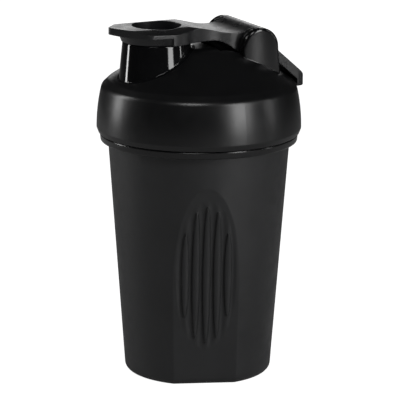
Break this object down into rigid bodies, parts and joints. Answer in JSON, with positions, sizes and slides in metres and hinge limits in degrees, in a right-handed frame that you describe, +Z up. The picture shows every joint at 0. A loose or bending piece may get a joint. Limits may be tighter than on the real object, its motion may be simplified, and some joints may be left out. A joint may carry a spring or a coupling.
{
  "type": "shaker bottle",
  "caption": "Tapered drinking cup with ribbed grips, screw lid, flip cap over a round spout, hinged carry loop and a loose wire whisk ball.",
  "frame": {"origin": "centre of the cup's base, on the table", "axes": "+Z up along the bottle's axis; the spout is towards -Y and the lid's hinge towards +Y, with the hinge axis along X"},
  "size_m": [0.096, 0.096, 0.1676],
  "materials": {
    "cup_plastic": "fine matte black moulding, glossy on the collar",
    "lid_plastic": "satin black moulding with polished spout and posts",
    "silicone": "matte black silicone",
    "cap_plastic": "satin black moulding",
    "loop_plastic": "satin black moulding",
    "pin_plastic": "smooth black",
    "wire": "bright drawn stainless wire"
  },
  "bodies": {
    "cup": {"cup": "cup_plastic"},
    "seal": {"lid_seal": "silicone"},
    "lid": {"lid": "lid_plastic", "hinge_pin": "pin_plastic"},
    "cap": {"flip_cap": "cap_plastic", "spout_seal": "silicone"},
    "loop": {"carry_loop": "loop_plastic"},
    "ball": {"whisk_ball": "wire"}
  },
  "joints": [
    {"name": "lid_lift", "type": "slide", "parent": "cup", "child": "seal", "axis": [0, 0, 1], "range_m": [0, 0.02401]},
    {"name": "lid_turn", "type": "hinge", "parent": "seal", "child": "lid", "pos_m": [0, 0, 0.13], "axis": [0, 0, 1], "range_deg": [0, 1440]},
    {"name": "cap_flip", "type": "hinge", "parent": "lid", "child": "cap", "pos_m": [0, 0.0221, 0.1561], "axis": [-1, 0, 0], "range_deg": [0, 105]},
    {"name": "loop_swing", "type": "hinge", "parent": "lid", "child": "loop", "pos_m": [0, 0.0221, 0.1561], "axis": [1, 0, 0], "range_deg": [0, 75]},
    {"name": "ball_rise", "type": "slide", "parent": "cup", "child": "ball", "axis": [0, 0, 1], "range_m": [0, 0.09]}
  ],
  "couplings": [
    {"joint": "lid_lift", "follows": "lid_turn", "m_per_rad": 0.00095492}
  ]
}
